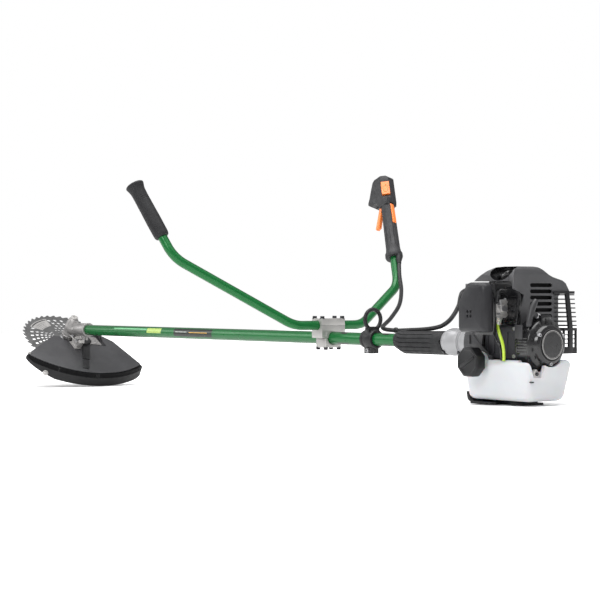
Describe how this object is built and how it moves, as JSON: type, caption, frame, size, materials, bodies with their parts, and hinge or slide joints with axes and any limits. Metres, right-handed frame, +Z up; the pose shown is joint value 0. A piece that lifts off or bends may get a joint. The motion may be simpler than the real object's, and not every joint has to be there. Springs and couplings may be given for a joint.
{
  "type": "brush cutter",
  "caption": "Petrol brush cutter: angled gear head with saw blade and guard, long drive tube, bent handlebar with throttle grip, and a small two-stroke engine with tank.",
  "frame": {"origin": "centre of the bottom face of the engine's stand", "axes": "+X runs back along the drive tube from blade to engine, +Z is up, -Y is the machine's left side"},
  "size_m": [1.9827, 0.7704, 0.544],
  "materials": {
    "green": "glossy green paint with metal flake",
    "steel": "machined or pressed steel",
    "cast": "fine die casting",
    "black": "black moulded plastic and black oxide",
    "grey": "dark grey moulding",
    "rubber": "soft black rubber",
    "orange": "orange moulded plastic",
    "white": "pale translucent plastic, drawn opaque",
    "lime": "yellow-green fuel hose",
    "clear": "milky soft plastic"
  },
  "bodies": {
    "frame": {"drive_tube": "green", "output_bearing": "steel", "line_knife": "steel", "connecting_rod": "steel", "spark_plug": "steel", "muffler": "steel", "gearbox_housing": "cast", "guard_bracket": "cast", "clamp_base": "cast", "clamp_middle": "cast", "clamp_cap": "cast", "clutch_housing": "cast", "cylinder": "cast", "piston": "cast", "air_filter_base": "cast", "carburettor": "cast", "guard_shell": "black", "guard_skirt": "black", "harness_hanger": "black", "clamp_bolt_1": "black", "clamp_bolt_2": "black", "clamp_bolt_3": "black", "clamp_bolt_4": "black", "throttle_cable": "black", "spark_plug_boot": "black", "starter_housing": "black", "muffler_guard": "black", "engine_stand": "black", "fan_housing": "grey", "crankcase": "grey", "engine_cover": "grey", "rear_sleeve_grip": "rubber", "fuel_tank": "white", "fuel_line": "lime"},
    "output": {"saw_blade": "steel", "blade_flange": "steel", "blade_washer": "steel", "blade_nut": "steel", "output_shaft": "steel", "driven_bevel_gear": "steel"},
    "drive_line": {"drive_shaft": "steel", "bevel_pinion": "steel", "clutch_drum": "steel"},
    "crank": {"crankshaft": "steel", "flywheel": "cast"},
    "shoe_a": {"clutch_shoe_a": "steel"},
    "shoe_b": {"clutch_shoe_b": "steel"},
    "handlebar": {"handlebar_tube": "green", "left_grip": "rubber", "throttle_housing": "grey"},
    "trigger": {"throttle_trigger": "orange"},
    "lockout": {"lockout_lever": "orange"},
    "switch": {"stop_switch": "orange"},
    "pull": {"starter_handle": "grey", "starter_rope": "black"},
    "pulley": {"starter_pulley": "grey"},
    "choke": {"choke_lever": "black"},
    "primer": {"primer_bulb": "clear"},
    "cap": {"fuel_cap": "black"},
    "air_cover": {"air_filter_cover": "black"}
  },
  "joints": [
    {"name": "blade_spin", "type": "hinge", "parent": "frame", "child": "output", "pos_m": [-1.7585, 0, 0.12], "axis": [0.5299, 0, 0.848], "continuous": true},
    {"name": "drive_shaft_spin", "type": "hinge", "parent": "frame", "child": "drive_line", "pos_m": [0, 0, 0.12], "axis": [1, 0, 0], "continuous": true},
    {"name": "crank_spin", "type": "hinge", "parent": "frame", "child": "crank", "pos_m": [0, 0, 0.12], "axis": [1, 0, 0], "continuous": true},
    {"name": "shoe_a_swing", "type": "hinge", "parent": "crank", "child": "shoe_a", "pos_m": [-0.116, 0.02, 0.12], "axis": [1, 0, 0], "range_deg": [0, 2]},
    {"name": "shoe_b_swing", "type": "hinge", "parent": "crank", "child": "shoe_b", "pos_m": [-0.116, -0.02, 0.12], "axis": [1, 0, 0], "range_deg": [0, 2]},
    {"name": "handlebar_tilt", "type": "hinge", "parent": "frame", "child": "handlebar", "pos_m": [-0.599, 0, 0.1485], "axis": [0, 1, 0], "range_deg": [-15, 15], "deforming": ["throttle_cable"]},
    {"name": "throttle_squeeze", "type": "hinge", "parent": "handlebar", "child": "trigger", "pos_m": [-0.77518, 0.31388, 0.43971], "axis": [0, -0.9602, 0.2794], "range_deg": [0, 14]},
    {"name": "lockout_press", "type": "hinge", "parent": "handlebar", "child": "lockout", "pos_m": [-0.7494, 0.31208, 0.43353], "axis": [0, 0.9602, -0.2794], "range_deg": [0, 8]},
    {"name": "switch_rock", "type": "hinge", "parent": "handlebar", "child": "switch", "pos_m": [-0.77333, 0.31716, 0.47604], "axis": [-0.6291, -0.7692, -0.1124], "range_deg": [-7, 7]},
    {"name": "starter_pull", "type": "slide", "parent": "frame", "child": "pull", "axis": [0, -0.9292, 0.3697], "range_m": [0, 0.7], "deforming": ["starter_rope"]},
    {"name": "pulley_turn", "type": "hinge", "parent": "frame", "child": "pulley", "pos_m": [0.067, 0, 0.12], "axis": [1, 0, 0], "range_deg": [0, 1605]},
    {"name": "choke_swing", "type": "hinge", "parent": "frame", "child": "choke", "pos_m": [0.026, -0.08, 0.206], "axis": [0, 1, 0], "range_deg": [0, 60]},
    {"name": "primer_press", "type": "slide", "parent": "frame", "child": "primer", "axis": [0, 0, 1], "range_m": [0, 0.004]},
    {"name": "fuel_cap_turn", "type": "hinge", "parent": "frame", "child": "cap", "pos_m": [-0.0445, -0.082, 0.085], "axis": [0, -1, 0], "range_deg": [0, 540]},
    {"name": "air_cover_lift", "type": "slide", "parent": "frame", "child": "air_cover", "axis": [0, -1, 0], "range_m": [0, 0.06]}
  ],
  "couplings": [
    {"joint": "drive_shaft_spin", "follows": "blade_spin", "ratio": 1.3571},
    {"joint": "shoe_b_swing", "follows": "shoe_a_swing", "ratio": 1},
    {"joint": "pulley_turn", "follows": "starter_pull", "rad_per_m": 40}
  ]
}
